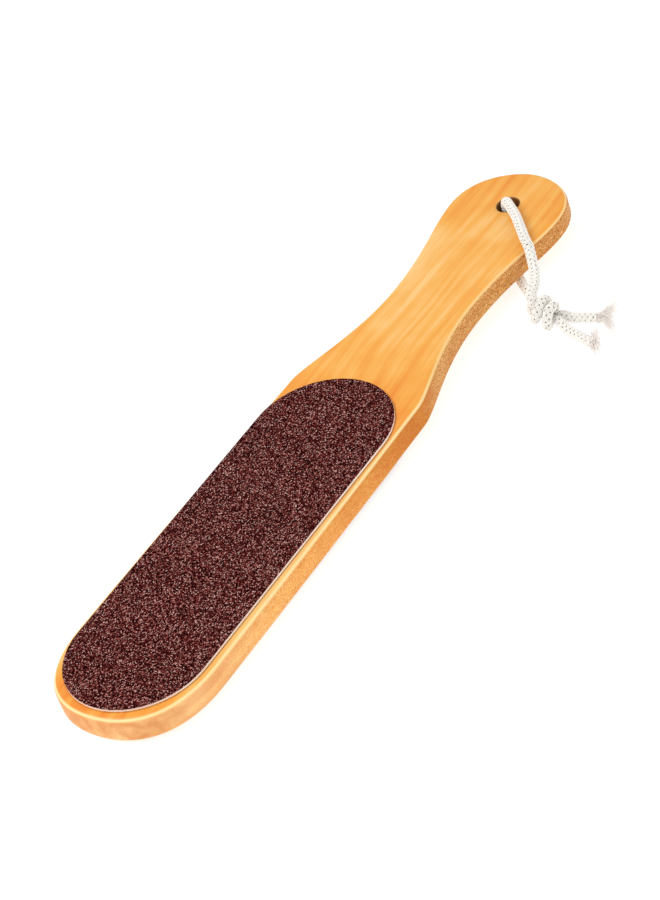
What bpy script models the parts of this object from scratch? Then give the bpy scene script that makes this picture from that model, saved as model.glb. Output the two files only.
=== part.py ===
# Foot scrubber: a rounded wooden paddle with an abrasive pad bonded to each face and a knotted
# cotton cord through the hole in its handle. Metres, +Z up, nose at -X, handle at +X. It lies as
# on a table: on the toe of its rear pad and on its own cord, which crosses under the handle.
import math

import bmesh
import bpy
import numpy as np
from mathutils import Matrix, Vector

# Paddle outline: its places along the length are shares of the length, from the nose
overall_length = 0.2500
blade_width = 0.0508
widest_share = 0.112
shoulder_width = 0.0484
shoulder_share = 0.556
neck_width = 0.0304
neck_share = 0.738
bulb_width = 0.0412
bulb_share = 0.920

# How far each curve handle of the outline reaches, as a share of the stretch beside it
nose_fullness_share = 0.75
blade_handle_shares = (0.50, 0.47)
shoulder_handle_shares = (0.072, 0.163)
neck_handle_shares = (0.45, 0.48)
bulb_handle_shares = (0.26, 0.75)
end_fullness_share = 0.34
outline_steps = 14

# Paddle section
blade_thickness = 0.0090
end_thickness = 0.0074
edge_radius = 0.0020
edge_limit_share = 0.45
edge_segments = 4
edge_angle = math.radians(60)

# Hanging hole
hole_diameter = 0.0074
hole_from_end = 0.0170
hole_edge_radius = 0.0005
hole_sides = 40
hole_edge_steps = 3
hole_edge_turn = math.radians(60)
cutter_overrun = 0.0030

# Abrasive pads, the same on both faces
pad_nose_margin = 0.0030
pad_side_margin = 0.0024
pad_length_share = 0.564
pad_arc_steps = 24
film_thickness = 0.00010
backing_thickness = 0.00040
grit_thickness = 0.00025
layer_gap = 0.00003
taper_clearance = 0.0010

# Cord
cord_diameter = 0.0033
touching_gap = 0.0003
splice_gap = 0.0004
cord_step = 0.0020
knot_step = 0.0011
end_step = 0.0004
cord_resolution = 2
crossing_from_hole = -0.0220

# Knot: the front end of the cord wraps round the rear end and itself, and is drawn tight
knot_from_hole = -0.0390
knot_side = -0.0354
knot_heading = math.radians(-78)
knot_tilt = math.radians(11)
knot_roll = math.radians(230)
knot_gap = 0.0005
knot_reach = 0.0050
knot_lift = 0.00008
core_squeeze_share = 0.50
wrap_squeeze_share = 0.80
mouth_squeeze_share = 0.92
wrap_spread = 0.0001
wrap_lean_share = 0.60
leg_angle = math.radians(150)
entry_turn = math.radians(35)
exit_turn = math.radians(4)
entry_spread_share = 2.16
exit_spread_share = 1.80
wrap_start_angle = math.radians(135)
wrap_steps = 14

# Route of the cord: along from the hole, across, and up from the table
front_run = (
    (0.0009, 0.0017, 0.00780),
    (0.0008, 0.0016, 0.00980),
    (0.0003, 0.0008, 0.01190),
    (-0.0010, -0.0007, 0.01320),
    (-0.0029, -0.0029, 0.01360),
    (-0.0068, -0.0074, 0.01360),
    (-0.0125, -0.0128, 0.01350),
    (-0.0165, -0.0165, 0.01340),
    (-0.0191, -0.0193, 0.01270),
    (-0.0212, -0.0210, 0.01120),
    (-0.0238, -0.0230, 0.00990),
    (-0.0265, -0.0249, 0.00910),
    (-0.0294, -0.0266, 0.00880),
    (-0.0323, -0.0279, 0.00870),
    (-0.0349, -0.0286, 0.00860),
    (-0.0368, -0.0294, 0.00840),
)
rear_run = (
    (0.0009, 0.0017, 0.00750),
    (0.0008, 0.0016, 0.00580),
    (0.0002, 0.0010, 0.00380),
    (-0.0014, -0.0001, 0.00230),
    (-0.0042, -0.0019, 0.00175),
    (-0.0090, -0.0051, 0.00168),
    (-0.0150, -0.0092, 0.00168),
    (-0.0206, -0.0134, 0.00168),
    (-0.0249, -0.0178, 0.00168),
    (-0.0277, -0.0213, 0.00168),
    (-0.0301, -0.0242, 0.00172),
    (-0.0325, -0.0260, 0.00220),
    (-0.0350, -0.0273, 0.00300),
    (-0.0370, -0.0284, 0.00370),
)
front_tail = (
    (-0.0411, -0.0429, 0.00220),
    (-0.0418, -0.0453, 0.00175),
    (-0.0427, -0.0484, 0.00168),
    (-0.0439, -0.0517, 0.00168),
    (-0.0447, -0.0542, 0.00168),
)
rear_tail = (
    (-0.0357, -0.0423, 0.00200),
    (-0.0348, -0.0447, 0.00172),
    (-0.0342, -0.0469, 0.00168),
    (-0.0334, -0.0498, 0.00168),
)

core_diameter = cord_diameter * core_squeeze_share
core_radius = (core_diameter + knot_gap) / math.sqrt(3)
wrap_diameter = cord_diameter * wrap_squeeze_share
wrap_radius = core_radius + core_diameter / 2 + knot_gap + wrap_diameter / 2
wrap_pitch = wrap_diameter + knot_gap + wrap_spread
knot_height = wrap_radius + wrap_diameter / 2 + knot_lift

widest_from_nose = widest_share * overall_length
shoulder_from_nose = shoulder_share * overall_length
neck_from_nose = neck_share * overall_length
bulb_from_nose = bulb_share * overall_length
pad_length = pad_length_share * overall_length
pad_width = blade_width - 2 * pad_side_margin
pad_thickness = 3 * layer_gap + film_thickness + backing_thickness + grit_thickness
taper_from_nose = pad_nose_margin + pad_length + taper_clearance
hole_from_nose = overall_length - hole_from_end
crossing_from_nose = hole_from_nose + crossing_from_hole


def half_thickness(from_nose):
    """Half the wood's thickness: even under the pads, then thinner towards the handle's end."""
    along = (from_nose - taper_from_nose) / (overall_length - taper_from_nose)
    drop = (blade_thickness - end_thickness) / 2
    return blade_thickness / 2 - drop * min(1, max(0, along))


def lean():
    """The angle at which the handle just clears the cord that crosses under it."""
    run = crossing_from_nose - pad_nose_margin
    rise = blade_thickness / 2 + pad_thickness - half_thickness(crossing_from_nose)
    return math.asin((cord_diameter + touching_gap) / math.hypot(run, rise)) - math.atan2(rise, run)


def principled(name, colour, roughness):
    material = bpy.data.materials.new(name)
    material.use_nodes = True
    shader = material.node_tree.nodes["Principled BSDF"]
    shader.inputs["Base Color"].default_value = (*colour, 1)
    shader.inputs["Roughness"].default_value = roughness
    shader.inputs["Metallic"].default_value = 0
    material.diffuse_color = (*colour, 1)
    return material


def add_object(name, data, collection, parent=None):
    made = bpy.data.objects.new(name, data)
    made.parent = parent
    collection.objects.link(made)
    return made


def mesh_of(made):
    """A plain mesh of what a curve shows, with its caps joined to its sides. The curve goes."""
    graph = bpy.context.evaluated_depsgraph_get()
    mesh = bpy.data.meshes.new_from_object(made.evaluated_get(graph))
    mesh.name = made.name
    bpy.data.objects.remove(made)
    form = bmesh.new()
    form.from_mesh(mesh)
    bmesh.ops.remove_doubles(form, verts=form.verts, dist=layer_gap / 10)
    bmesh.ops.recalc_face_normals(form, faces=form.faces)
    form.to_mesh(mesh)
    form.free()
    return mesh


def paddle_anchors():
    """The upper half of the outline: place, half width, and the reach of both curve handles."""
    to_shoulder = shoulder_from_nose - widest_from_nose
    to_neck = neck_from_nose - shoulder_from_nose
    to_bulb = bulb_from_nose - neck_from_nose
    to_end = overall_length - bulb_from_nose
    blade_back, blade_ahead = blade_handle_shares
    shoulder_back, shoulder_ahead = shoulder_handle_shares
    neck_back, neck_ahead = neck_handle_shares
    bulb_back, bulb_ahead = bulb_handle_shares
    return (
        (widest_from_nose, blade_width / 2, blade_back * widest_from_nose, blade_ahead * to_shoulder),
        (shoulder_from_nose, shoulder_width / 2, shoulder_back * to_shoulder, shoulder_ahead * to_neck),
        (neck_from_nose, neck_width / 2, neck_back * to_neck, neck_ahead * to_bulb),
        (bulb_from_nose, bulb_width / 2, bulb_back * to_bulb, bulb_ahead * to_end),
    )


def paddle_outline():
    """A closed curve round the paddle, flat, extruded to the blade's thickness."""
    curve = bpy.data.curves.new("paddle_outline", "CURVE")
    curve.dimensions = "2D"
    curve.fill_mode = "BOTH"
    curve.extrude = blade_thickness / 2
    curve.resolution_u = outline_steps
    nose_reach = nose_fullness_share * blade_width / 2
    end_reach = end_fullness_share * bulb_width / 2
    upper = paddle_anchors()
    rows = [(0, 0, Vector((0, 1, 0)), nose_reach, nose_reach)]
    rows += [(x, y, Vector((1, 0, 0)), back, ahead) for x, y, back, ahead in upper]
    rows += [(overall_length, 0, Vector((0, -1, 0)), end_reach, end_reach)]
    rows += [(x, -y, Vector((-1, 0, 0)), ahead, back) for x, y, back, ahead in reversed(upper)]
    spline = curve.splines.new("BEZIER")
    spline.bezier_points.add(len(rows) - 1)
    spline.use_cyclic_u = True
    for point, (x, y, heading, back, ahead) in zip(spline.bezier_points, rows):
        point.co = (x, y, 0)
        point.handle_left_type = "FREE"
        point.handle_right_type = "FREE"
        point.handle_left = point.co - heading * back
        point.handle_right = point.co + heading * ahead
    return curve


def taper_handle(mesh):
    """One flat cap on each face, folded where the taper starts, and thinned beyond it."""
    form = bmesh.new()
    form.from_mesh(mesh)
    for side in (1, -1):
        cap = [face for face in form.faces if face.normal.z * side > math.cos(edge_angle)]
        bmesh.ops.dissolve_faces(form, faces=cap)
    everything = form.verts[:] + form.edges[:] + form.faces[:]
    fold = Vector((taper_from_nose, 0, 0))
    bmesh.ops.bisect_plane(
        form, geom=everything, dist=layer_gap / 10, plane_co=fold, plane_no=(1, 0, 0)
    )
    for vertex in form.verts:
        vertex.co.z *= half_thickness(vertex.co.x) / (blade_thickness / 2)
    form.to_mesh(mesh)
    form.free()


def hole_cutter(collection, parent):
    """A turned pin for the hole, flared at both faces to ease the edges."""
    face = half_thickness(hole_from_nose)
    radius = hole_diameter / 2
    eased = []
    for step in range(hole_edge_steps + 1):
        turn = hole_edge_turn * step / hole_edge_steps
        out = radius + hole_edge_radius * (1 - math.cos(turn))
        eased.append((out, face - hole_edge_radius * (1 - math.sin(turn))))
    last_radius, last_height = eased[-1]
    slope = math.tan(hole_edge_turn)
    eased.append((last_radius + cutter_overrun * slope, last_height + cutter_overrun))
    upper = list(reversed(eased))
    profile = [(0, upper[0][1])] + upper + [(x, -z) for x, z in eased] + [(0, -upper[0][1])]
    mesh = bpy.data.meshes.new("hole_cutter")
    edges = [(k, k + 1) for k in range(len(profile) - 1)]
    mesh.from_pydata([(x, 0, z) for x, z in profile], edges, [])
    cutter = add_object("hole_cutter", mesh, collection, parent)
    cutter.location = (hole_from_nose, 0, 0)
    screw = cutter.modifiers.new("turn", "SCREW")
    screw.axis = "Z"
    screw.angle = math.radians(360)
    screw.steps = hole_sides
    screw.render_steps = hole_sides
    screw.use_merge_vertices = True
    screw.merge_threshold = layer_gap / 10
    cutter.hide_render = True
    cutter.display_type = "WIRE"
    return cutter


def add_paddle(collection, cutters, parent):
    outline = bpy.data.objects.new("paddle", paddle_outline())
    collection.objects.link(outline)
    mesh = mesh_of(outline)
    taper_handle(mesh)
    mesh.materials.append(principled("lacquered_wood", (0.75, 0.36, 0.08), 0.35))
    paddle = add_object("paddle", mesh, collection, parent)
    round_over = paddle.modifiers.new("rounded edges", "BEVEL")
    round_over.limit_method = "ANGLE"
    round_over.angle_limit = edge_angle
    round_over.width = min(edge_radius, edge_limit_share * min(end_thickness, blade_thickness))
    round_over.segments = edge_segments
    round_over.use_clamp_overlap = False
    bore = paddle.modifiers.new("hanging hole", "BOOLEAN")
    bore.operation = "DIFFERENCE"
    bore.solver = "EXACT"
    bore.object = hole_cutter(cutters, parent)
    mesh.shade_smooth()
    mesh.set_sharp_from_angle(angle=edge_angle)
    return paddle


def pad_curve(name, thickness):
    """A flat strip with half-round ends, as a closed outline extruded to its thickness."""
    curve = bpy.data.curves.new(name, "CURVE")
    curve.dimensions = "2D"
    curve.fill_mode = "BOTH"
    curve.extrude = thickness / 2
    radius = pad_width / 2
    straight = pad_length / 2 - radius
    spline = curve.splines.new("POLY")
    spline.points.add(2 * (pad_arc_steps + 1) - 1)
    spline.use_cyclic_u = True
    for index, point in enumerate(spline.points):
        end, step = divmod(index, pad_arc_steps + 1)
        turn = math.pi * (step / pad_arc_steps - 1 / 2 + end)
        side = 1 - 2 * end
        point.co = (side * straight + radius * math.cos(turn), radius * math.sin(turn), 0, 1)
    return curve


def add_pads(collection, parent):
    """On each face, from the wood out: adhesive film, white backing, grit sheet."""
    layers = (
        ("adhesive_film", film_thickness, (0.62, 0.50, 0.34), 0.40),
        ("backing", backing_thickness, (0.86, 0.84, 0.80), 0.60),
        ("grit_sheet", grit_thickness, (0.13, 0.035, 0.03), 0.75),
    )
    for face, side in (("front", 1), ("rear", -1)):
        level = blade_thickness / 2
        for layer, thickness, colour, roughness in layers:
            level += layer_gap + thickness / 2
            name = f"{face}_{layer}"
            pad = add_object(name, pad_curve(name, thickness), collection, parent)
            pad.data.materials.append(principled(name, colour, roughness))
            pad.location = (pad_nose_margin + pad_length / 2, 0, side * level)
            level += thickness / 2


def from_knot(along, radius, angle):
    """A point of the knot, given along and around its axis, in the frame of the routes."""
    middle = Matrix.Translation((knot_from_hole, knot_side, knot_height))
    axes = Matrix.Rotation(knot_heading, 4, "Z") @ Matrix.Rotation(knot_tilt, 4, "Y")
    across = radius * math.cos(knot_roll - angle)
    up = radius * math.sin(knot_roll - angle)
    return middle @ axes @ Vector((along, across, up))


def wrap_place(angle):
    """How far along the axis the wrap is at an angle: it moves on mostly at the knot's back."""
    turn = angle + math.pi / 2
    return (turn + wrap_lean_share * math.sin(turn)) / math.tau * wrap_pitch


def knot_entry(mouth_turn, mouth_spread_share):
    """The wrapping end on its way in: straight through the core, then out and round its mouth."""
    turn_radius = (wrap_radius - core_radius) / 2
    turn_place = wrap_place(wrap_start_angle)
    way_in = -knot_reach / 2
    mouth_radius = mouth_spread_share * core_radius
    stations = [
        (-knot_reach, mouth_radius, leg_angle + mouth_turn, mouth_squeeze_share),
        (way_in, core_radius, leg_angle, core_squeeze_share),
        (way_in / 2, core_radius, leg_angle, core_squeeze_share),
        (0, core_radius, leg_angle, core_squeeze_share),
    ]
    for share in (0, 1 / 4, 1 / 2, 3 / 4):
        swing = math.pi * share
        stations.append((
            turn_place + turn_radius * math.sin(swing),
            core_radius + turn_radius * (1 - math.cos(swing)),
            leg_angle + (wrap_start_angle - leg_angle) * share**2,
            core_squeeze_share + (wrap_squeeze_share - core_squeeze_share) * share,
        ))
    return stations


def wrapping_strand():
    """Along, out and around the knot's axis, and the cord's thickness there: in, round, out."""
    entry = knot_entry(entry_turn, entry_spread_share)
    last_angle = -math.pi - wrap_start_angle
    stations = entry[:]
    for step in range(1, wrap_steps):
        angle = wrap_start_angle + (last_angle - wrap_start_angle) * step / wrap_steps
        stations.append((wrap_place(angle), wrap_radius, angle, wrap_squeeze_share))
    for along, radius, angle, share in reversed(knot_entry(exit_turn, exit_spread_share)):
        stations.append((-along, radius, -math.pi - angle, share))
    return [(from_knot(along, radius, angle), share) for along, radius, angle, share in stations]


def core_strand():
    """The end that runs straight through the knot, under the two legs of the other."""
    stations = (
        (-1, entry_spread_share, 0.028, mouth_squeeze_share),
        (-1 / 2, 1, 0.03, core_squeeze_share),
        (0, 1, 0, core_squeeze_share),
        (1 / 2, 1, -0.03, core_squeeze_share),
        (1, exit_spread_share, 0, mouth_squeeze_share),
    )
    strand = []
    for along_share, spread_share, turn_share, share in stations:
        angle = math.pi * (turn_share - 1 / 2)
        place = from_knot(along_share * knot_reach, spread_share * core_radius, angle)
        strand.append((place, share))
    return strand


def smooth_route(stations):
    """A centripetal curve through the stations, as many close points with their thickness."""
    rows = np.array([(*place, share) for place, share in stations])
    rows = np.vstack([2 * rows[0] - rows[1], rows, 2 * rows[-1] - rows[-2]])
    steps = np.linalg.norm(np.diff(rows[:, :3], axis=0), axis=1)
    knots = np.concatenate([[0], np.cumsum(np.sqrt(steps))])
    fine = []
    starts = []
    for k in range(1, len(rows) - 2):
        starts.append(len(fine))
        t0, t1, t2, t3 = knots[k - 1:k + 3]
        p0, p1, p2, p3 = rows[k - 1:k + 3]
        for t in np.linspace(t1, t2, 24, endpoint=False):
            a1 = ((t1 - t) * p0 + (t - t0) * p1) / (t1 - t0)
            a2 = ((t2 - t) * p1 + (t - t1) * p2) / (t2 - t1)
            a3 = ((t3 - t) * p2 + (t - t2) * p3) / (t3 - t2)
            b1 = ((t2 - t) * a1 + (t - t0) * a2) / (t2 - t0)
            b2 = ((t3 - t) * a2 + (t - t1) * a3) / (t3 - t1)
            fine.append(((t2 - t) * b1 + (t - t1) * b2) / (t2 - t1))
    starts.append(len(fine))
    fine.append(rows[-2])
    return np.array(fine), starts


def even_points(fine, step, trim_start, trim_end):
    """Points at an even distance along a route, with its ends trimmed for the touching gap."""
    run = np.concatenate([[0], np.cumsum(np.linalg.norm(np.diff(fine[:, :3], axis=0), axis=1))])
    count = max(3, round(run[-1] / step) + 1)
    first, last = trim_start, run[-1] - trim_end
    inner = np.linspace(first, last, count)[1:-1]
    places = np.concatenate([[first, first + end_step], inner, [last - end_step, last]])
    return np.stack([np.interp(places, run, fine[:, k]) for k in range(4)], axis=1)


def add_tube(name, points, material, collection):
    curve = bpy.data.curves.new(name, "CURVE")
    curve.dimensions = "3D"
    curve.bevel_depth = cord_diameter / 2
    curve.bevel_resolution = cord_resolution
    curve.use_fill_caps = True
    spline = curve.splines.new("POLY")
    spline.points.add(len(points) - 1)
    spline.use_smooth = True
    for point, (x, y, z, share) in zip(spline.points, points):
        point.co = (x + hole_from_nose - overall_length / 2, y, z, 1)
        point.radius = share
    curve.materials.append(material)
    add_object(name, curve, collection)


def least_gap(first, second):
    """The least distance between the surfaces of two tubes, from their points."""
    apart = np.linalg.norm(first[:, None, :3] - second[None, :, :3], axis=2)
    reach = (first[:, None, 3] + second[None, :, 3]) * cord_diameter / 2
    if first is second:
        place = np.arange(len(first))
        near = np.abs(place[:, None] - place[None]) * knot_step < 2 * cord_diameter
        apart[near] = apart.max()
    return (apart - reach).min()


def add_cord(collection):
    """Both ends of the cord, from the middle of the hole to their tails, each in three tubes."""
    material = principled("braided_cotton", (0.80, 0.76, 0.68), 0.85)
    half_gap = splice_gap / 2
    knots = []
    ends = (
        ("front", "wrap", front_run, wrapping_strand(), front_tail),
        ("rear", "core", rear_run, core_strand(), rear_tail),
    )
    for end, role, run, strand, tail in ends:
        stations = [(Vector(place), 1) for place in run] + strand
        stations += [(Vector(place), 1) for place in tail]
        fine, starts = smooth_route(stations)
        into, out = starts[len(run)], starts[len(run) + len(strand) - 1]
        to_knot = even_points(fine[:into + 1], cord_step, 0, half_gap)
        knot = even_points(fine[into:out + 1], knot_step, half_gap, half_gap)
        to_end = even_points(fine[out:], cord_step, half_gap, 0)
        knots.append(knot)
        add_tube(f"cord_{end}_run", to_knot, material, collection)
        add_tube(f"cord_knot_{role}", knot, material, collection)
        add_tube(f"cord_{end}_tail", to_end, material, collection)
    wrap, core = knots
    for label, first, second in (("itself", wrap, wrap), ("the core strand", wrap, core)):
        gap_mm = 1000 * least_gap(first, second)
        print(f"knot: the wrapping strand clears {label} by {gap_mm:.2f} mm")


def build():
    for old in list(bpy.data.objects):
        bpy.data.objects.remove(old)
    parts = bpy.data.collections.new("foot_scrubber")
    cutters = bpy.data.collections.new("cutters")
    for collection in (parts, cutters):
        bpy.context.scene.collection.children.link(collection)
    angle = lean()
    toe_drop = blade_thickness / 2 + pad_thickness
    resting = add_object("resting_frame", None, parts)
    resting.rotation_euler = (0, -angle, 0)
    resting.location = (
        -overall_length / 2 * math.cos(angle),
        0,
        toe_drop * math.cos(angle) - pad_nose_margin * math.sin(angle),
    )
    add_paddle(parts, cutters, resting)
    add_pads(parts, resting)
    add_cord(parts)
    print(f"lean {math.degrees(angle):.3f} degrees")


build()
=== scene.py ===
import math
import bmesh
import bpy
import numpy as np
from mathutils import Matrix, Vector


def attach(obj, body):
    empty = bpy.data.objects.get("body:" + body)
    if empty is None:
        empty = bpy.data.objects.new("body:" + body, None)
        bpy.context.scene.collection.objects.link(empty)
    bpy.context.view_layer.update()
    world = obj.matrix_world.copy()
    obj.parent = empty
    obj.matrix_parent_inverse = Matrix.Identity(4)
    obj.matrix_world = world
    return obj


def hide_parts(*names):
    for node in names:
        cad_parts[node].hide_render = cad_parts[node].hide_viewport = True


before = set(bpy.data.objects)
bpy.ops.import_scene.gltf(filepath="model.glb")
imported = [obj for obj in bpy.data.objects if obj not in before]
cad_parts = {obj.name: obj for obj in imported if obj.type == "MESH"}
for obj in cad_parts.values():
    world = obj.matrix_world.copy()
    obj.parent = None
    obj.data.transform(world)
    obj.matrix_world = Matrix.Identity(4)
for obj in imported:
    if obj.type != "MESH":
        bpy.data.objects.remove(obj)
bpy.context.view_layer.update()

mm = 0.001


# Helpers

def linearColour(hexCode):  # sRGB hex to the linear values that a shader takes
    parts = [int(hexCode[k:k + 2], 16) / 255 for k in (1, 3, 5)]
    return (*[p / 12.92 if p <= 0.04045 else ((p + 0.055) / 1.055) ** 2.4 for p in parts], 1)


def addNode(tree, kind, sockets, stops=None, **settings):
    # sockets: name or number to a value or to another node's output; stops: a ramp's places to hex colours
    node = tree.nodes.new(kind)
    for key, value in settings.items():
        setattr(node, key, value)
    for key, value in sockets.items():
        if isinstance(value, bpy.types.NodeSocket):
            tree.links.new(value, node.inputs[key])
        else:
            node.inputs[key].default_value = value
    for number, (place, hexCode) in enumerate(sorted((stops or {}).items())):
        elements = node.color_ramp.elements
        element = elements[number] if number < 2 else elements.new(place)
        element.position = place
        element.color = linearColour(hexCode)
    return node


def newMaterial(name, **values):
    material = bpy.data.materials.new(name)
    material.use_nodes = True
    shader = material.node_tree.nodes["Principled BSDF"]
    for key, value in values.items():
        shader.inputs[key.replace("_", " ")].default_value = value
    return material, material.node_tree, shader


def newHolder(name, data):
    holder = bpy.data.objects.new(name, data)
    bpy.context.scene.collection.objects.link(holder)
    return holder


def meshOf(holder):  # the plain mesh that a curve or a modified mesh shows; its holder goes
    graph = bpy.context.evaluated_depsgraph_get()
    mesh = bpy.data.meshes.new_from_object(holder.evaluated_get(graph))
    bpy.data.objects.remove(holder)
    return mesh


def placedPiece(name, mesh, material):
    mesh.name = name
    mesh.materials.clear()
    mesh.materials.append(material)
    piece = newHolder(name, mesh)
    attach(piece, "root")
    return piece


# Camera, light and floor

cameraSettings = {
    "place": (-0.49755, -0.51050, 0.55322),
    "right": (0.53074, -0.80383, -0.26862),
    "down": (-0.64467, -0.17714, -0.74365),
    "ahead": (0.55019, 0.56786, -0.61223),
    "lens": 120.22,  # of a 36 mm frame along the picture's height
    "frame": 36,
    "nearest": 0.01,
}


def setCamera(cs):
    camera = newHolder("photoCamera", bpy.data.cameras.new("photoCamera"))
    right, down, ahead = (Vector(cs[key]) for key in ("right", "down", "ahead"))
    turned = Matrix((right, -down, -ahead)).transposed().to_4x4()
    camera.matrix_world = Matrix.Translation(cs["place"]) @ turned
    camera.data.lens = cs["lens"]
    camera.data.sensor_width = cs["frame"]
    camera.data.clip_start = cs["nearest"]
    bpy.context.scene.camera = camera


lightSettings = {
    "sky": 0.69,
    "skyColour": "#ffffff",
    "areas": (  # place, what it faces, size, watts
        ("keyLight", (-0.55, 0.35, 0.95), (0, 0, 0), 0.60, 6.3),
        ("frontFill", (0.35, -0.95, 0.55), (0.02, 0, 0), 0.60, 2.2),
    ),
    "floor": "#a8a8a8",
    "glow": "#ffffff",
    "floorGlow": 0.76,  # a lit table: the photo's ground is burnt out to white, with next to no shadow
    "floorHalf": 3.0,
}


def setLight(ls):
    world = bpy.data.worlds.new("softStudio")
    bpy.context.scene.world = world
    world.use_nodes = True
    sky = world.node_tree.nodes["Background"]
    sky.inputs["Color"].default_value = linearColour(ls["skyColour"])
    sky.inputs["Strength"].default_value = ls["sky"]
    for name, place, target, size, watts in ls["areas"]:
        lamp = bpy.data.lights.new(name, "AREA")
        lamp.shape = "SQUARE"
        lamp.size = size
        lamp.energy = watts
        made = newHolder(name, lamp)
        made.location = place
        made.rotation_euler = (Vector(target) - Vector(place)).to_track_quat("-Z", "Y").to_euler()
    bpy.context.scene.view_settings.view_transform = "Standard"


def layFloor(ls):
    form = bmesh.new()
    bmesh.ops.create_grid(form, x_segments=1, y_segments=1, size=ls["floorHalf"])
    mesh = bpy.data.meshes.new("floor")
    form.to_mesh(mesh)
    form.free()
    # matt white acrylic of a lit table: pale and even, with a little light of its own
    material, tree, shader = newMaterial("litWhiteTable", Roughness=0.9, Emission_Strength=ls["floorGlow"])
    shader.inputs["Base Color"].default_value = linearColour(ls["floor"])
    shader.inputs["Emission Color"].default_value = linearColour(ls["glow"])
    mesh.materials.append(material)
    newHolder("floor", mesh)


setCamera(cameraSettings)
setLight(lightSettings)
layFloor(lightSettings)
print("camera, light and floor set")


# Wooden paddle: one board with rounded edges, thinned towards the handle's end, and its hanging hole

paddleSettings = {
    "length": 250.0,
    # from the nose, half width, and how far the curve's handles reach back and ahead
    "outline": (
        (28.0, 25.40, 14.00, 52.17),
        (139.0, 24.20, 7.99, 7.42),
        (184.5, 15.20, 20.48, 21.84),
        (230.0, 20.60, 11.83, 15.00),
    ),
    "noseReach": 19.05,
    "endReach": 7.00,
    "outlineSteps": 48,
    "thickness": 9.0,
    "endThickness": 7.4,
    "taperFrom": 145.0,
    "taperEase": 0.15,  # share of the taper over which it sets in
    "taperStep": 5.0,  # the board is cut across this often, so that it can thin
    "edgeRadius": 2.0,
    "edgeSegments": 9,
    "flatAngle": math.radians(60),
    "flatNormal": 0.9999,
    "weld": 0.001,  # mm within which corners are one
    "holeFromNose": 233.0,
    "holeRadius": 3.7,
    "holeEase": 0.7,
    "holeSides": 64,
    "holeSteps": 6,
    # it lies toe down, with its handle propped on the cord
    "lean": math.radians(0.62179),
    "toe": 3.0,  # from the nose to the rear pad's end
    "toeDrop": 5.34,  # from the board's middle to the rear pad's face
    # marks in the wood: mm along the grain, mm across it, and how finely each is broken up
    "streak": (60.0, 3.2, 5.0),
    "fibre": (14.0, 0.5, 3.0),
    "pore": (0.70, 0.24, 2.0),  # coarser than real pores, so that they show
    "drift": (250 / 3, 10.0, 2.0),  # mm over which the grain wanders, and how many mm it strays
    "patch": (34.0, 3.0),
    # where the darker patches fall: this seed puts one on the handle's end
    "patchSeed": 8.7,
    "toneShares": {"streak": 0.36, "fibre": 0.08, "patch": 0.56},
    "toneRange": (0.38, 0.62),
    "fibreRelief": (0.08, 0.1),  # strength, and mm
    "face": {0.0: "#e98a2b", 0.36: "#efa13f", 0.64: "#f2af50", 1.0: "#f7c47a"},
    "bladeMargin": "#f4d596",  # the board is paler beside the middle of the pad
    "marginPaleness": {0.10: "#000000", 0.35: "#aaaaaa", 0.60: "#aaaaaa", 0.95: "#000000"},
    # painted highlight: the pale line along the rounded edge, on the blade and on the handle
    "bladeRimHighlight": "#ffdf9e",
    "handleRimHighlight": "#fbcf88",
    "highlightFacing": (0.90, 0.76),  # how level the surface is where the painted highlight starts, and where it is full
    "sideFacing": (0.40, 0.66),  # and where the sawn side is full, and where it ends
    "bladeSide": {0.0: "#fcc78e", 0.32: "#ffce88", 0.52: "#fec578", 0.74: "#f2b462", 0.94: "#dc9a45"},
    "sideStreak": 0.8,
    "sidePores": {0.38: "#e9c296", 0.60: "#ffffff"},
    "sidePatches": {0.05: "#dcaa72", 0.80: "#ffffff"},
    "sidePatchShare": 0.7,
    "sandedFrom": -70.0,  # towards the nose most of the side's pores are sanded away
    "sandedTo": -110.0,
    "poresLeft": 0.15,
    "handleSide": {0.35: "#ad7535", 0.5: "#d69650", 0.64: "#f5c383"},
    "handleFrom": 15.0,  # mm from the middle: here the blade's pale side turns into the handle's coarse one
    "handleTo": 32.0,
    "gloss": (0.05, 0.35),  # of the sawn sides and of the lacquered faces
    # painted shade: the hanging hole's wall is darker
    "bore": "#8a5a2c",
    "boreShadeReach": (1.02, 1.10),  # in hole radii: where the hole's painted shade ends
}


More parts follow.
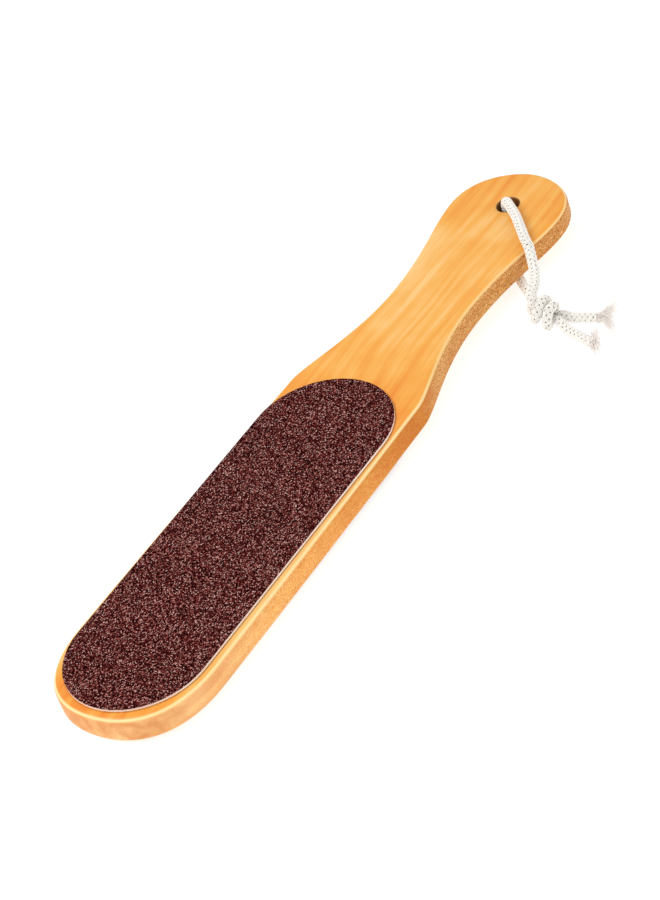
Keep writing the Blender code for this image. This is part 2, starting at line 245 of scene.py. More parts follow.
def lacqueredWood(ps):
    # a pale even hardwood such as schima, dipped in warm clear lacquer: soft streaks along the board, a
    # painted highlight along the rounded edge, the sawn side darker, where its pores drank the lacquer
    material, tree, shader = newMaterial("lacqueredHardwood", Roughness=0.42)
    coords = addNode(tree, "ShaderNodeTexCoord", {})
    place, facing = coords.outputs["Object"], coords.outputs["Normal"]
    wide, stray, detail = ps["drift"]
    drift = addNode(tree, "ShaderNodeTexNoise", {
        "Vector": place, "Scale": 1 / (wide * mm), "Detail": detail})
    bent = addNode(tree, "ShaderNodeVectorMath", {
        0: drift.outputs["Color"], 1: (stray * mm, stray * mm, stray * mm), 2: place},
        operation="MULTIPLY_ADD")
    marks = {}
    for name in ("streak", "fibre", "pore"):
        along, across, detail = ps[name]
        scaled = addNode(tree, "ShaderNodeMapping", {
            "Vector": bent.outputs["Vector"],
            "Scale": (1 / (along * mm), 1 / (across * mm), 1 / (across * mm))})
        marks[name] = addNode(tree, "ShaderNodeTexNoise", {
            "Vector": scaled.outputs["Vector"], "Scale": 1.0, "Detail": detail}).outputs["Fac"]
    wide, detail = ps["patch"]
    marks["patch"] = addNode(tree, "ShaderNodeTexNoise", {
        "Vector": place, "W": ps["patchSeed"], "Scale": 1 / (wide * mm), "Detail": detail},
        noise_dimensions="4D").outputs["Fac"]
    shares = ps["toneShares"]
    mixed = addNode(tree, "ShaderNodeMath", {0: marks["streak"], 1: shares["streak"]}, operation="MULTIPLY")
    for name in ("fibre", "patch"):
        mixed = addNode(tree, "ShaderNodeMath", {
            0: marks[name], 1: shares[name], 2: mixed.outputs[0]}, operation="MULTIPLY_ADD")
    least, most = ps["toneRange"]
    spread = addNode(tree, "ShaderNodeMapRange", {
        "Value": mixed.outputs[0], "From Min": least, "From Max": most}).outputs["Result"]
    alongBoard = addNode(tree, "ShaderNodeSeparateXYZ", {"Vector": place}).outputs["X"]
    nose, handleFrom, handleTo = -ps["length"] / 2 * mm, ps["handleFrom"] * mm, ps["handleTo"] * mm
    onHandle = addNode(tree, "ShaderNodeMapRange", {
        "Value": alongBoard, "From Min": handleFrom, "From Max": handleTo}).outputs["Result"]

    face = addNode(tree, "ShaderNodeValToRGB", {"Fac": spread}, stops=ps["face"])
    onBlade = addNode(tree, "ShaderNodeMapRange", {
        "Value": alongBoard, "From Min": nose, "From Max": handleFrom})
    paler = addNode(tree, "ShaderNodeValToRGB", {
        "Fac": onBlade.outputs["Result"]}, stops=ps["marginPaleness"])
    face = addNode(tree, "ShaderNodeMix", {
        "Factor": paler.outputs["Color"], "A": face.outputs["Color"], "B": linearColour(ps["bladeMargin"])},
        data_type="RGBA")

    # the blade's side darkens in streaks from the nose on, and its pores are multiplied in
    half = ps["sideStreak"] / 2
    fromTip = addNode(tree, "ShaderNodeMapRange", {
        "Value": alongBoard, "From Min": nose, "From Max": handleTo, "To Min": -half, "To Max": 1 - half})
    banded = addNode(tree, "ShaderNodeMath", {
        0: marks["streak"], 1: ps["sideStreak"], 2: fromTip.outputs["Result"]}, operation="MULTIPLY_ADD")
    smooth = addNode(tree, "ShaderNodeValToRGB", {"Fac": banded.outputs[0]}, stops=ps["bladeSide"])
    sawn = addNode(tree, "ShaderNodeValToRGB", {"Fac": marks["pore"]}, stops=ps["sidePores"])
    porous = addNode(tree, "ShaderNodeMapRange", {
        "Value": alongBoard, "From Min": ps["sandedTo"] * mm, "From Max": ps["sandedFrom"] * mm,
        "To Min": ps["poresLeft"]})
    smooth = addNode(tree, "ShaderNodeMix", {
        "Factor": porous.outputs["Result"], "A": smooth.outputs["Color"], "B": sawn.outputs["Color"]},
        data_type="RGBA", blend_type="MULTIPLY")
    rough = addNode(tree, "ShaderNodeValToRGB", {"Fac": marks["pore"]}, stops=ps["handleSide"])
    side = addNode(tree, "ShaderNodeMix", {
        "Factor": onHandle, "A": smooth.outputs["Result"], "B": rough.outputs["Color"]}, data_type="RGBA")
    uneven = addNode(tree, "ShaderNodeValToRGB", {"Fac": spread}, stops=ps["sidePatches"])
    side = addNode(tree, "ShaderNodeMix", {
        "Factor": ps["sidePatchShare"], "A": side.outputs["Result"], "B": uneven.outputs["Color"]},
        data_type="RGBA", blend_type="MULTIPLY")

    # the sawn side shows where the surface stands steep, the painted highlight where it turns over
    upright = addNode(tree, "ShaderNodeSeparateXYZ", {"Vector": facing})
    level = addNode(tree, "ShaderNodeMath", {0: upright.outputs["Z"]}, operation="ABSOLUTE").outputs[0]
    least, most = ps["sideFacing"]
    steep = addNode(tree, "ShaderNodeMapRange", {
        "Value": level, "From Min": least, "From Max": most, "To Min": 1.0, "To Max": 0.0})
    steep = steep.outputs["Result"]
    least, most = ps["highlightFacing"]
    highlightShare = addNode(tree, "ShaderNodeMapRange", {"Value": level, "From Min": least, "From Max": most})
    rimHighlight = addNode(tree, "ShaderNodeMix", {
        "Factor": onHandle, "A": linearColour(ps["bladeRimHighlight"]), "B": linearColour(ps["handleRimHighlight"])},
        data_type="RGBA")
    toHighlight = addNode(tree, "ShaderNodeMix", {
        "Factor": highlightShare.outputs["Result"], "A": face.outputs["Result"], "B": rimHighlight.outputs["Result"]},
        data_type="RGBA")
    toSide = addNode(tree, "ShaderNodeMix", {
        "Factor": steep, "A": toHighlight.outputs["Result"], "B": side.outputs["Result"]}, data_type="RGBA")

    # inside the hole the wood is painted darker: painted shade in the bore
    hole = ((ps["holeFromNose"] - ps["length"] / 2) * mm, 0, 0)
    fromHole = addNode(tree, "ShaderNodeVectorMath", {0: place, 1: hole}, operation="SUBTRACT")
    flat = addNode(tree, "ShaderNodeVectorMath", {
        0: fromHole.outputs["Vector"], 1: (1, 1, 0)}, operation="MULTIPLY")
    away = addNode(tree, "ShaderNodeVectorMath", {0: flat.outputs["Vector"]}, operation="LENGTH")
    wall = ps["holeRadius"] * mm
    least, most = ps["boreShadeReach"]
    insideShade = addNode(tree, "ShaderNodeMapRange", {
        "Value": away.outputs["Value"], "From Min": wall * least, "From Max": wall * most,
        "To Min": 1.0, "To Max": 0.0})
    tone = addNode(tree, "ShaderNodeMix", {
        "Factor": insideShade.outputs["Result"], "A": toSide.outputs["Result"], "B": linearColour(ps["bore"])},
        data_type="RGBA")
    tree.links.new(tone.outputs["Result"], shader.inputs["Base Color"])

    bareness, lacquer = ps["gloss"]
    gloss = addNode(tree, "ShaderNodeMapRange", {"Value": steep, "To Min": lacquer, "To Max": bareness})
    tree.links.new(gloss.outputs["Result"], shader.inputs["Specular IOR Level"])
    strength, height = ps["fibreRelief"]
    ripple = addNode(tree, "ShaderNodeBump", {
        "Height": marks["fibre"], "Strength": strength, "Distance": height * mm})
    tree.links.new(ripple.outputs["Normal"], shader.inputs["Normal"])
    return material


def paddleCurve(ps):  # the outline, filled, extruded and rounded
    curve = bpy.data.curves.new("paddleOutline", "CURVE")
    curve.dimensions = "2D"
    curve.fill_mode = "BOTH"
    curve.resolution_u = ps["outlineSteps"]
    curve.render_resolution_u = ps["outlineSteps"]
    curve.extrude = (ps["thickness"] / 2 - ps["edgeRadius"]) * mm
    curve.bevel_depth = ps["edgeRadius"] * mm
    curve.bevel_resolution = ps["edgeSegments"]
    curve.offset = -ps["edgeRadius"] * mm
    upper = ps["outline"]
    rows = [(0, 0, Vector((0, 1, 0)), ps["noseReach"], ps["noseReach"])]
    rows += [(x, y, Vector((1, 0, 0)), back, onward) for x, y, back, onward in upper]
    rows += [(ps["length"], 0, Vector((0, -1, 0)), ps["endReach"], ps["endReach"])]
    rows += [(x, -y, Vector((-1, 0, 0)), onward, back) for x, y, back, onward in reversed(upper)]
    spline = curve.splines.new("BEZIER")
    spline.bezier_points.add(len(rows) - 1)
    spline.use_cyclic_u = True
    for point, (x, y, heading, back, onward) in zip(spline.bezier_points, rows):
        point.co = Vector((x, y, 0)) * mm
        point.handle_left_type = "FREE"
        point.handle_right_type = "FREE"
        point.handle_left = point.co - heading * back * mm
        point.handle_right = point.co + heading * onward * mm
    return curve


def halfThickness(ps, fromNose):  # even under the pads, then thinner, with an eased start
    share = max(0, (fromNose - ps["taperFrom"]) / (ps["length"] - ps["taperFrom"]))
    ease = ps["taperEase"]
    eased = share**2 / (2 * ease) if share < ease else share - ease / 2
    return (ps["thickness"] - (ps["thickness"] - ps["endThickness"]) * eased / (1 - ease / 2)) / 2


def holeCutter(ps):  # a turned pin, flared at both faces
    face = halfThickness(ps, ps["holeFromNose"])
    radius, ease = ps["holeRadius"], ps["holeEase"]
    flare = []
    for step in range(ps["holeSteps"] + 1):
        turn = math.pi / 2 * step / ps["holeSteps"]
        flare.append((radius + ease * (1 - math.cos(turn)), face - ease * (1 - math.sin(turn))))
    flare.append((flare[-1][0] + ease, flare[-1][1] + ease))
    top = flare[-1][1]
    profile = [(0, top)] + flare[::-1] + [(x, -z) for x, z in flare] + [(0, -top)]
    form = bmesh.new()
    corners = [form.verts.new((x * mm, 0, z * mm)) for x, z in profile]
    edges = [form.edges.new(pair) for pair in zip(corners, corners[1:])]
    bmesh.ops.spin(
        form, geom=corners + edges, cent=(0, 0, 0), axis=(0, 0, 1), angle=math.tau, steps=ps["holeSides"])
    bmesh.ops.remove_doubles(form, verts=form.verts, dist=ps["weld"] * mm)
    bmesh.ops.recalc_face_normals(form, faces=form.faces)
    mesh = bpy.data.meshes.new("holePin")
    form.to_mesh(mesh)
    form.free()
    pin = newHolder("holePin", mesh)
    pin.location = (ps["holeFromNose"] * mm, 0, 0)
    return pin


def carvePaddle(ps):
    mesh = meshOf(newHolder("paddleOutline", paddleCurve(ps)))
    form = bmesh.new()
    form.from_mesh(mesh)
    bmesh.ops.remove_doubles(form, verts=form.verts, dist=ps["weld"] * mm)
    for side in (1, -1):
        cap = [face for face in form.faces if face.normal.z * side > ps["flatNormal"]]
        bmesh.ops.dissolve_faces(form, faces=cap)
    for step in range(math.ceil((ps["length"] - ps["taperFrom"]) / ps["taperStep"])):
        everything = form.verts[:] + form.edges[:] + form.faces[:]
        cut = Vector(((ps["taperFrom"] + step * ps["taperStep"]) * mm, 0, 0))
        bmesh.ops.bisect_plane(
            form, geom=everything, dist=ps["weld"] * mm, plane_co=cut, plane_no=(1, 0, 0))
    for vertex in form.verts:
        vertex.co.z *= halfThickness(ps, vertex.co.x / mm) / (ps["thickness"] / 2)
    bmesh.ops.recalc_face_normals(form, faces=form.faces)
    form.to_mesh(mesh)
    form.free()
    board = newHolder("board", mesh)
    pin = holeCutter(ps)
    bore = board.modifiers.new("hanging hole", "BOOLEAN")
    bore.solver = "EXACT"
    bore.object = pin
    mesh = meshOf(board)
    bpy.data.objects.remove(pin)
    lean = ps["lean"]
    rise = ps["toeDrop"] * math.cos(lean) - ps["toe"] * math.sin(lean)
    resting = Matrix.Translation((-ps["length"] / 2 * math.cos(lean) * mm, 0, rise * mm))
    mesh.transform(resting @ Matrix.Rotation(-lean, 4, "Y"))
    mesh.shade_smooth()
    mesh.set_sharp_from_angle(angle=ps["flatAngle"])
    piece = placedPiece("paddleBody", mesh, lacqueredWood(ps))
    even = piece.modifiers.new("even shading", "WEIGHTED_NORMAL")
    even.keep_sharp = True
    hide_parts("paddle")
    print("paddle", len(mesh.polygons), "faces")


carvePaddle(paddleSettings)


# Abrasive pads: the CAD's three layers on each face, dressed

padSettings = {
    "grain": {"front": 0.32, "rear": 0.21},  # mm across a grain, a little coarser than real ones, to show
    # the brightest stops are painted highlights: glints of single grains
    "grit": {0.0: "#1c0202", 0.42: "#400c0e", 0.66: "#7e2b29", 0.84: "#bd7066", 1.0: "#f4c8be"},
    "betweenGrains": "#120405",
    "gap": (0.30, 0.80),  # in grains from a grain's middle: where the dark between grains starts, and where it is full
    "relief": 0.7,
    "cloth": "#ffe2d2",
    "cutFacing": (0.3, 0.7),  # how level the surface is where the cut edge ends, and where the grit is full
    "cell": 0.25,  # mm across a cell of the foam
    "backing": {0.1: "#fffaf2", 0.7: "#fff0e2"},
    "run": 3.0,  # mm over which the adhesive thickens and thins
    "adhesive": {0.35: "#7c4a22", 0.65: "#b3783f"},
    "squeezedOut": 0.28,  # mm that the adhesive stands out round the pads
}


def abrasiveGrit(ps, side):
    # brown garnet grains scattered on a sheet: each grain has its own tone, the brightest ones painted
    # highlights where grains would glint, and the gaps between them nearly black
    grain = ps["grain"][side]
    material, tree, shader = newMaterial(side + "GarnetGrit", Roughness=0.75, Specular_IOR_Level=0.01)
    coords = addNode(tree, "ShaderNodeTexCoord", {})
    place = coords.outputs["Object"]
    facing = addNode(tree, "ShaderNodeSeparateXYZ", {"Vector": coords.outputs["Normal"]})
    grains = addNode(tree, "ShaderNodeTexVoronoi", {"Vector": place, "Scale": 1 / (grain * mm)})
    shade = addNode(tree, "ShaderNodeSeparateColor", {"Color": grains.outputs["Color"]})
    tone = addNode(tree, "ShaderNodeValToRGB", {"Fac": shade.outputs["Red"]}, stops=ps["grit"])
    least, most = ps["gap"]
    gap = addNode(tree, "ShaderNodeMapRange", {
        "Value": grains.outputs["Distance"], "From Min": least, "From Max": most})
    mixed = addNode(tree, "ShaderNodeMix", {
        "Factor": gap.outputs["Result"], "A": tone.outputs["Color"], "B": linearColour(ps["betweenGrains"])},
        data_type="RGBA")
    # the sheet's cut edge is its pale cloth
    level = addNode(tree, "ShaderNodeMath", {0: facing.outputs["Z"]}, operation="ABSOLUTE")
    least, most = ps["cutFacing"]
    cut = addNode(tree, "ShaderNodeMapRange", {
        "Value": level.outputs[0], "From Min": least, "From Max": most})
    dressed = addNode(tree, "ShaderNodeMix", {
        "Factor": cut.outputs["Result"], "A": linearColour(ps["cloth"]), "B": mixed.outputs["Result"]},
        data_type="RGBA")
    tree.links.new(dressed.outputs["Result"], shader.inputs["Base Color"])
    height = addNode(tree, "ShaderNodeMath", {
        0: shade.outputs["Green"], 1: grains.outputs["Distance"]}, operation="SUBTRACT")
    bump = addNode(tree, "ShaderNodeBump", {
        "Height": height.outputs[0], "Strength": ps["relief"], "Distance": grain / 2 * mm})
    tree.links.new(bump.outputs["Normal"], shader.inputs["Normal"])
    return material


def foamBacking(ps):
    # white foam sheet cut through with the pad: matt, with the fine cells of foam at its edge
    material, tree, shader = newMaterial("whiteFoamBacking", Roughness=0.85)
    place = addNode(tree, "ShaderNodeTexCoord", {}).outputs["Object"]
    cells = addNode(tree, "ShaderNodeTexVoronoi", {"Vector": place, "Scale": 1 / (ps["cell"] * mm)})
    tone = addNode(tree, "ShaderNodeValToRGB", {"Fac": cells.outputs["Distance"]}, stops=ps["backing"])
    tree.links.new(tone.outputs["Color"], shader.inputs["Base Color"])
    return material


def adhesiveFilm(ps):
    # amber contact adhesive squeezed to a thin line, darker where it gathered
    material, tree, shader = newMaterial("amberAdhesive", Roughness=0.35, IOR=1.5)
    place = addNode(tree, "ShaderNodeTexCoord", {}).outputs["Object"]
    run = addNode(tree, "ShaderNodeTexNoise", {
        "Vector": place, "Scale": 1 / (ps["run"] * mm), "Detail": 2.0})
    tone = addNode(tree, "ShaderNodeValToRGB", {"Fac": run.outputs["Fac"]}, stops=ps["adhesive"])
    tree.links.new(tone.outputs["Color"], shader.inputs["Base Color"])
    return material


def dressPads(ps):
    backing, film = foamBacking(ps), adhesiveFilm(ps)
    for side in ("front", "rear"):
        layers = {"grit_sheet": abrasiveGrit(ps, side), "backing": backing, "adhesive_film": film}
        for layer, material in layers.items():
            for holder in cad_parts[side + "_" + layer].material_slots:
                holder.material = material
        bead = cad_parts[side + "_adhesive_film"].modifiers.new("squeezed out", "DISPLACE")
        bead.mid_level = 0
        bead.strength = ps["squeezedOut"] * mm


dressPads(padSettings)
print("pads finished")


# Cord: two ends of one braided cord, from inside the hole through a knot to their frayed tips

cordSettings = {
    "diameter": 3.3,
    "fromMiddle": 108.0,  # the hole's place; the routes are along from it, across, and up from the table
    "step": 0.30,  # mm between the points of a route
    "fineSteps": 24,  # in each span of the smooth curve, before it is cut into even steps
    "routes": {
        "front": (
            (0.9, 1.7, 7.80),
            (0.8, 1.6, 9.80),
            (0.3, 0.8, 11.90),
            (-1.0, -0.7, 13.20),
            (-2.9, -2.9, 13.60),
            (-6.8, -7.4, 13.60),
            (-12.5, -12.8, 13.50),
            (-16.5, -16.5, 13.40),
            (-19.1, -19.3, 12.70),
            (-21.2, -21.0, 11.20),
            (-23.8, -23.0, 9.90),
            (-26.5, -24.9, 9.10),
            (-29.4, -26.6, 8.80),
            (-32.3, -27.9, 8.70),
            (-34.9, -28.6, 8.60),
            (-36.8, -29.4, 8.40),
        ),
        "rear": (
            (0.9, 1.7, 7.50),
            (0.8, 1.6, 5.80),
            (0.2, 1.0, 3.80),
            (-1.4, -0.1, 2.30),
            (-4.2, -1.9, 1.75),
            (-9.0, -5.1, 1.68),
            (-15.0, -9.2, 1.68),
            (-20.6, -13.4, 1.68),
            (-24.9, -17.8, 1.68),
            (-27.7, -21.3, 1.68),
            (-30.1, -24.2, 1.72),
            (-32.5, -26.0, 2.20),
            (-35.0, -27.3, 3.00),
            (-37.0, -28.4, 3.70),
        ),
    },
    "tails": {
        "front": (
            (-41.1, -42.9, 2.20),
            (-41.8, -45.3, 1.75),
            (-42.7, -48.4, 1.68),
            (-43.9, -51.7, 1.68),
            (-44.7, -54.2, 1.68),
        ),
        "rear": (
            (-35.7, -42.3, 2.00),
            (-34.8, -44.7, 1.72),
            (-34.2, -46.9, 1.68),
            (-33.4, -49.8, 1.68),
        ),
    },
    # knot: the front end goes straight through, back round its own mouth, twice round both and out again
    "knotPlace": (-39.0, -35.4),
    "knotLift": 0.08,
    "heading": math.radians(-78),
    "tilt": math.radians(11),
    "roll": math.radians(230),
    "gap": 0.5,  # mm between the turns as the solids have them
    "reach": 5.0,
    # shares of the cord's thickness, drawn tight in the knot's middle, in its wraps and at its mouths
    "coreShare": 0.50,
    "wrapShare": 0.80,
    "mouthShare": 0.92,
    "spread": 0.1,
    "leanShare": 0.60,
    "legAngle": math.radians(150),
    "entryTurn": math.radians(35),
    "exitTurn": math.radians(4),
    "entrySpreadShare": 2.16,
    "exitSpreadShare": 1.80,
    "rearTurns": (0.028, 0.03, 0, -0.03, 0),  # how far the rear end strays round the axis, in half turns
    "startAngle": math.radians(135),
    "wrapSteps": 14,
    # the solid's wraps are kept apart and the real ones press: its shares, and the fuller ones drawn here
    "fullShares": ((0.50, 0.80, 1.0), (0.50, 0.97, 1.0)),
    # braid: strands of three yarns, half of them winding each way, one over and one under in turn, with
    # openings between them as coarse as they need to be to show
    "strandsEachWay": 4,
    "yarnsEachStrand": 3,
    "turnLength": 7.2,
    "yarn": 0.34,
    "wave": 0.17,  # mm that a strand rises and dips as it passes over and under
    "wander": 0.09,  # radians that a strand strays from its even place
    "wanderLength": 1.9,
    "fullness": 0.08,  # mm that the braid stands out past the cord's nominal radius
    "yarnRoundness": 1,  # how finely a yarn's section and the inside's are divided
    "insideRoundness": 4,
    "insideEvery": 2,  # steps of the route between the inside's points
    "light": "#fffdf8",
    "shade": "#f4eee5",
    # painted shade: the braid's dark inside, seen through its openings
    "core": "#76665a",
    "frayLight": "#fffaf5",
    "frayShade": "#f3e9e0",
    "fuzz": 0.45,  # mm across a tuft of fuzz
    "fuzzRange": (0.35, 0.6),
    "fuzzRelief": (0.5, 0.08),  # strength, and mm
}


def braidedCotton(cs, name, light, shade):
    # unbleached cotton yarn, matt and a little fuzzy, cream with fine pale tufts
    material, tree, shader = newMaterial(name, Roughness=0.9, Sheen_Weight=0.3, Sheen_Roughness=0.6)
    place = addNode(tree, "ShaderNodeTexCoord", {}).outputs["Object"]
    tufts = addNode(tree, "ShaderNodeTexNoise", {
        "Vector": place, "Scale": 1 / (cs["fuzz"] * mm), "Detail": 3.0}).outputs["Fac"]
    least, most = cs["fuzzRange"]
    tone = addNode(tree, "ShaderNodeValToRGB", {"Fac": tufts}, stops={least: shade, most: light})
    tree.links.new(tone.outputs["Color"], shader.inputs["Base Color"])
    strength, height = cs["fuzzRelief"]
    bump = addNode(tree, "ShaderNodeBump", {"Height": tufts, "Strength": strength, "Distance": height * mm})
    tree.links.new(bump.outputs["Normal"], shader.inputs["Normal"])
    return material


def knotSizes(cs):  # how far out the core and the wrap run, the wrap's pitch, and the knot's middle's height
    core = cs["diameter"] * cs["coreShare"]
    wrap = cs["diameter"] * cs["wrapShare"]
    coreRadius = (core + cs["gap"]) / math.sqrt(3)
    wrapRadius = coreRadius + core / 2 + cs["gap"] + wrap / 2
    return coreRadius, wrapRadius, wrap + cs["gap"] + cs["spread"], wrapRadius + wrap / 2 + cs["knotLift"]


def wrapPlace(cs, angle):  # the wrap moves on along the knot's axis mostly at its back
    turn = angle + math.pi / 2
    return (turn + cs["leanShare"] * math.sin(turn)) / math.tau * knotSizes(cs)[2]


def knotEntry(cs, mouthTurn, spreadShare):  # straight through the core, then out and round its mouth
    coreRadius, wrapRadius = knotSizes(cs)[:2]
    turnRadius = (wrapRadius - coreRadius) / 2
    leg, wayIn = cs["legAngle"], -cs["reach"] / 2
    stations = [
        (-cs["reach"], spreadShare * coreRadius, leg + mouthTurn, cs["mouthShare"]),
        (wayIn, coreRadius, leg, cs["coreShare"]),
        (wayIn / 2, coreRadius, leg, cs["coreShare"]),
        (0, coreRadius, leg, cs["coreShare"]),
    ]
    for share in (0, 1 / 4, 1 / 2, 3 / 4):
        swing = math.pi * share
        stations.append((
            wrapPlace(cs, cs["startAngle"]) + turnRadius * math.sin(swing),
            coreRadius + turnRadius * (1 - math.cos(swing)),
            leg + (cs["startAngle"] - leg) * share**2,
            cs["coreShare"] + (cs["wrapShare"] - cs["coreShare"]) * share,
        ))
    return stations


def knotStrand(cs, end):  # along, out and around the knot's axis, and the cord's thickness there
    coreRadius, wrapRadius, _, height = knotSizes(cs)
    if end == "rear":
        rows = (
            (-1, cs["entrySpreadShare"], cs["mouthShare"]),
            (-1 / 2, 1, cs["coreShare"]),
            (0, 1, cs["coreShare"]),
            (1 / 2, 1, cs["coreShare"]),
            (1, cs["exitSpreadShare"], cs["mouthShare"]),
        )
        stations = []
        for (along, out, share), stray in zip(rows, cs["rearTurns"]):
            stations.append((along * cs["reach"], out * coreRadius, math.pi * (stray - 1 / 2), share))
    else:
        stations = knotEntry(cs, cs["entryTurn"], cs["entrySpreadShare"])
        last = -math.pi - cs["startAngle"]
        for step in range(1, cs["wrapSteps"]):
            angle = cs["startAngle"] + (last - cs["startAngle"]) * step / cs["wrapSteps"]
            stations.append((wrapPlace(cs, angle), wrapRadius, angle, cs["wrapShare"]))
        for along, radius, angle, share in reversed(knotEntry(cs, cs["exitTurn"], cs["exitSpreadShare"])):
            stations.append((-along, radius, -math.pi - angle, share))
    middle = Matrix.Translation((*cs["knotPlace"], height))
    axes = Matrix.Rotation(cs["heading"], 4, "Z") @ Matrix.Rotation(cs["tilt"], 4, "Y")
    placed = []
    for along, radius, angle, share in stations:
        turned = cs["roll"] - angle
        spot = middle @ axes @ Vector((along, radius * math.cos(turned), radius * math.sin(turned)))
        placed.append((*spot, share))
    return placed


def smoothRoute(stations, cs):  # a smooth curve through the stations, as even points with their thickness
    rows = np.array(stations)
    rows = np.vstack([2 * rows[0] - rows[1], rows, 2 * rows[-1] - rows[-2]])
    spans = np.linalg.norm(np.diff(rows[:, :3], axis=0), axis=1)
    knots = np.concatenate([[0], np.cumsum(np.sqrt(spans))])
    fine = []
    for k in range(1, len(rows) - 2):
        t0, t1, t2, t3 = knots[k - 1:k + 3]
        p0, p1, p2, p3 = rows[k - 1:k + 3]
        for t in np.linspace(t1, t2, cs["fineSteps"], endpoint=False):
            a1 = ((t1 - t) * p0 + (t - t0) * p1) / (t1 - t0)
            a2 = ((t2 - t) * p1 + (t - t1) * p2) / (t2 - t1)
            a3 = ((t3 - t) * p2 + (t - t2) * p3) / (t3 - t2)
            b1 = ((t2 - t) * a1 + (t - t0) * a2) / (t2 - t0)
            b2 = ((t3 - t) * a2 + (t - t1) * a3) / (t3 - t1)
            fine.append(((t2 - t) * b1 + (t - t1) * b2) / (t2 - t1))
    fine = np.array(fine + [rows[-2]])
    run = np.concatenate([[0], np.cumsum(np.linalg.norm(np.diff(fine[:, :3], axis=0), axis=1))])
    places = np.linspace(0, run[-1], max(3, round(run[-1] / cs["step"]) + 1))
    return np.stack([np.interp(places, run, fine[:, k]) for k in range(4)], axis=1), places


def routeFrames(points):  # two directions across the route at each point, carried along without twist
    ahead = np.gradient(points[:, :3], axis=0)
    ahead /= np.linalg.norm(ahead, axis=1, keepdims=True)
    side = np.cross(ahead[0], (0, 1.0, 0))
    sides = []
    for direction in ahead:
        side = side - direction * (side @ direction)
        side /= np.linalg.norm(side)
        sides.append(side)
    sides = np.array(sides)
    return sides, np.cross(ahead, sides)


def yarnMesh(name, routes, diameter, resolution):  # round yarns swept along their routes
    curve = bpy.data.curves.new(name, "CURVE")
    curve.dimensions = "3D"
    curve.bevel_depth = diameter / 2 * mm
    curve.bevel_resolution = resolution
    curve.use_fill_caps = True
    for route in routes:
        spline = curve.splines.new("POLY")
        spline.points.add(len(route) - 1)
        spline.use_smooth = True
        spline.points.foreach_set("co", np.column_stack([route[:, :3] * mm, np.ones(len(route))]).ravel())
        spline.points.foreach_set("radius", route[:, 3].copy())
    return meshOf(newHolder(name, curve))


def braidRoutes(points, places, cs):  # each yarn of the braid, its strand over and under the others in turn
    sides, ups = routeFrames(points)
    count, turns = cs["strandsEachWay"], math.tau * places / cs["turnLength"]
    share = points[:, 3]
    mean = cs["diameter"] / 2 + cs["fullness"] - cs["yarn"] / 2 - cs["wave"]
    slant = math.atan2(math.tau * mean, cs["turnLength"])
    apart = cs["yarn"] / math.cos(slant) / mean
    routes = []
    for way in (1, -1):
        reach = (mean + way * cs["wave"] * np.sin(count * turns)) * share
        for number in range(count):
            start = math.tau * (number + (way < 0) / 2) / count
            for yarn in range(cs["yarnsEachStrand"]):
                angles = start + way * turns + (yarn - (cs["yarnsEachStrand"] - 1) / 2) * apart
                angles += cs["wander"] * np.sin(places / cs["wanderLength"] + way * number)
                out = sides * np.cos(angles)[:, None] + ups * np.sin(angles)[:, None]
                route = points[:, :3] + out * reach[:, None]
                route[:, 2] = np.maximum(route[:, 2], cs["yarn"] / 2)
                routes.append(np.column_stack([route, share]))
    return routes


fraySettings = {
    # each tuft: which end, how many fibres, where it leans to, along, across and up from the cord's tip
    "tufts": (
        ("rear", 60, (4.6, -3.4, 1.4)),
        ("rear", 60, (-3.4, -7.0, 0.2)),
        ("front", 50, (4.0, 0.8, 1.8)),
        ("front", 50, (-2.0, -2.4, -0.2)),
    ),
    "fibre": 0.24,
    "steps": 9,
    "fill": 0.9,  # share of the cord's section that the fibres start from
    "reach": (0.7, 1.3),
    "knee": (0.3, 0.5),
    "scatter": 0.85,
    "curl": 0.55,
    "curlTurns": 0.75,
    "thinning": 0.5,
    "roundness": 0,
    "backSteps": 3,  # the last steps of the cord's route that give the way its end points
    "seed": 7,
}


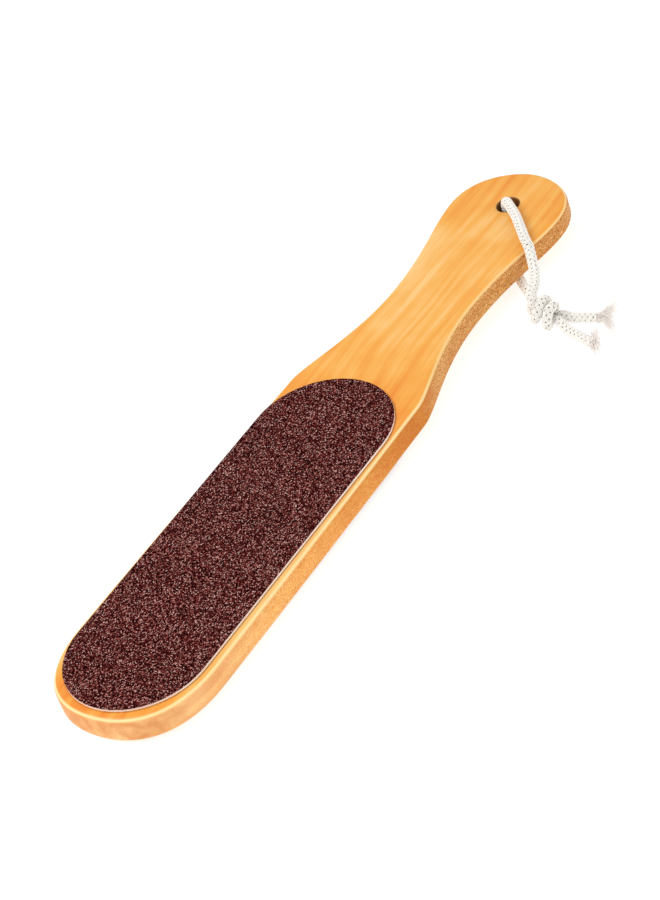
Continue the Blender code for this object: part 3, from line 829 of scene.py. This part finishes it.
def frayRoutes(fs, end, tip, ahead, cs):  # loose yarns that fan out of the cord's cut end and droop
    chance = np.random.default_rng(fs["seed"] + len(end))
    routes = []
    across = np.cross(ahead, (0, 0, 1.0))
    for owner, count, lean in fs["tufts"]:
        if owner != end:
            continue
        for _ in range(count):
            turn = chance.uniform(0, math.tau)
            out = cs["diameter"] / 2 * math.sqrt(chance.uniform(0, fs["fill"]))
            start = tip + across * out * math.cos(turn) + np.array((0, 0, 1.0)) * out * math.sin(turn)
            reach = chance.uniform(*fs["reach"])
            target = start + np.array(lean) * reach + chance.normal(0, fs["scatter"], 3) * reach
            knee = start + ahead * np.linalg.norm(lean) * reach * chance.uniform(*fs["knee"])
            twist = chance.normal(0, fs["curl"], 3)
            route = []
            for t in np.linspace(0, 1, fs["steps"]):
                place = (1 - t) ** 2 * start + 2 * t * (1 - t) * knee + t**2 * target
                place = place + twist * math.sin(math.tau * fs["curlTurns"] * t) * t
                route.append((place[0], place[1], max(place[2], fs["fibre"]), 1 - fs["thinning"] * t))
            routes.append(np.array(route))
    return routes


def layCord(cs, fs):
    cotton = braidedCotton(cs, "braidedCotton", cs["light"], cs["shade"])
    # the braid's inside is painted shade
    shadowed = braidedCotton(cs, "braidPaintedShade", cs["core"], cs["core"])
    loose = braidedCotton(cs, "frayedCotton", cs["frayLight"], cs["frayShade"])
    hole = np.array((cs["fromMiddle"], 0, 0, 0))
    for end, nodes in (
        ("front", ("cord_front_run", "cord_knot_wrap", "cord_front_tail")),
        ("rear", ("cord_rear_run", "cord_knot_core", "cord_rear_tail")),
    ):
        stations = [(*p, 1) for p in cs["routes"][end]]
        stations += knotStrand(cs, end)
        stations += [(*p, 1) for p in cs["tails"][end]]
        points, places = smoothRoute(np.array(stations) + hole, cs)
        points[:, 3] = np.interp(points[:, 3], *cs["fullShares"])
        yarns = yarnMesh(end + "Cord", braidRoutes(points, places, cs), cs["yarn"], cs["yarnRoundness"])
        braid = placedPiece(end + "Cord", yarns, cotton)
        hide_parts(*nodes)
        # a dark round inside the braid, painted shade, so that its openings look deep and let no light
        # through
        thick = cs["diameter"] - 2 * cs["yarn"] - 2 * cs["wave"]
        insideShade = [points[::cs["insideEvery"]]]
        filling = yarnMesh(end + "CordShadeInside", insideShade, thick, cs["insideRoundness"])
        core = placedPiece(end + "CordShadeInside", filling, shadowed)
        ahead = points[-1, :3] - points[-1 - fs["backSteps"], :3]
        ahead /= np.linalg.norm(ahead)
        frayed = frayRoutes(fs, end, points[-1, :3], ahead, cs)
        tuft = yarnMesh(end + "CordFray", frayed, fs["fibre"], fs["roundness"])
        tips = placedPiece(end + "CordFray", tuft, loose)
        print(end, "end of the cord", round(places[-1], 1), "mm,", len(braid.data.polygons), "faces")


layCord(cordSettings, fraySettings)
